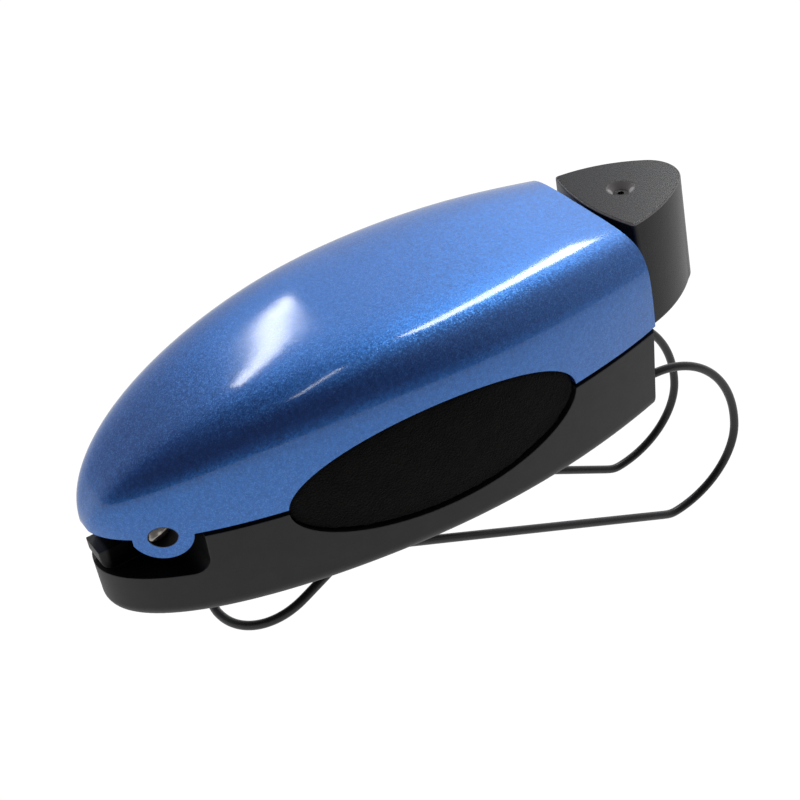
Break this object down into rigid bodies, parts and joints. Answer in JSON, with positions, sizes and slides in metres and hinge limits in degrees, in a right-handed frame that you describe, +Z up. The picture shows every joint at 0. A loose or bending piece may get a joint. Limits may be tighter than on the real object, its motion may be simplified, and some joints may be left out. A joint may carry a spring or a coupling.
{
  "type": "sun visor glasses clip",
  "caption": "Clamshell glasses holder with a metallic lid, foam-lined oval opening, press button at the tail and a sprung wire clip for a sun visor.",
  "frame": {"origin": "centre of the case's length on the flat underside of the base, midway between its sides", "axes": "+X along the case from the hinged nose to the button at the tail, +Z up through the lid, Y across the case; the XZ plane is the mirror plane"},
  "size_m": [0.1101, 0.04, 0.0648],
  "materials": {
    "lid_blue": "metallic blue flake lacquer, high gloss",
    "base_plastic": "satin black moulded plastic",
    "button_plastic": "semi-gloss black moulded plastic",
    "liner_plastic": "matt black moulded plastic",
    "foam": "black open-cell foam",
    "black_wire": "satin black coated spring steel",
    "pin_steel": "turned steel",
    "screw_steel": "zinc-plated steel"
  },
  "bodies": {
    "base": {"base_tray": "base_plastic", "base_liner": "liner_plastic", "base_foam_pad": "foam", "base_liner_screws": "screw_steel", "hinge_pin": "pin_steel", "hinge_springs": "pin_steel", "strike_plate": "pin_steel", "clip_wire_root": "black_wire", "clip_retainer_plate": "base_plastic", "clip_retainer_screws": "screw_steel"},
    "lid": {"lid_shell": "lid_blue", "lid_liner": "liner_plastic", "lid_foam_pad": "foam", "lid_liner_screws": "screw_steel", "latch_pin": "pin_steel", "latch_spring": "pin_steel"},
    "release_button": {"button_cap": "button_plastic", "latch_lever": "liner_plastic", "button_screw": "screw_steel"},
    "clip_arm": {"clip_wire_arm": "black_wire"}
  },
  "joints": [
    {"name": "lid_hinge", "type": "hinge", "parent": "base", "child": "lid", "pos_m": [-0.03625, 0, 0.0156], "axis": [0, -1, 0], "range_deg": [0, 28], "stiffness_Nm_per_rad": 0.08, "springref_deg": -20.05},
    {"name": "button_press", "type": "hinge", "parent": "lid", "child": "release_button", "pos_m": [0.0389, 0, 0.0187], "axis": [0, 1, 0], "range_deg": [0, 7], "stiffness_Nm_per_rad": 0.2, "springref_deg": -5.73, "deforming": ["latch_spring"]},
    {"name": "clip_flex", "type": "hinge", "parent": "base", "child": "clip_arm", "pos_m": [0.06545, 0, -0.01865], "axis": [0, -1, 0], "range_deg": [0, 10], "stiffness_Nm_per_rad": 1.5}
  ]
}
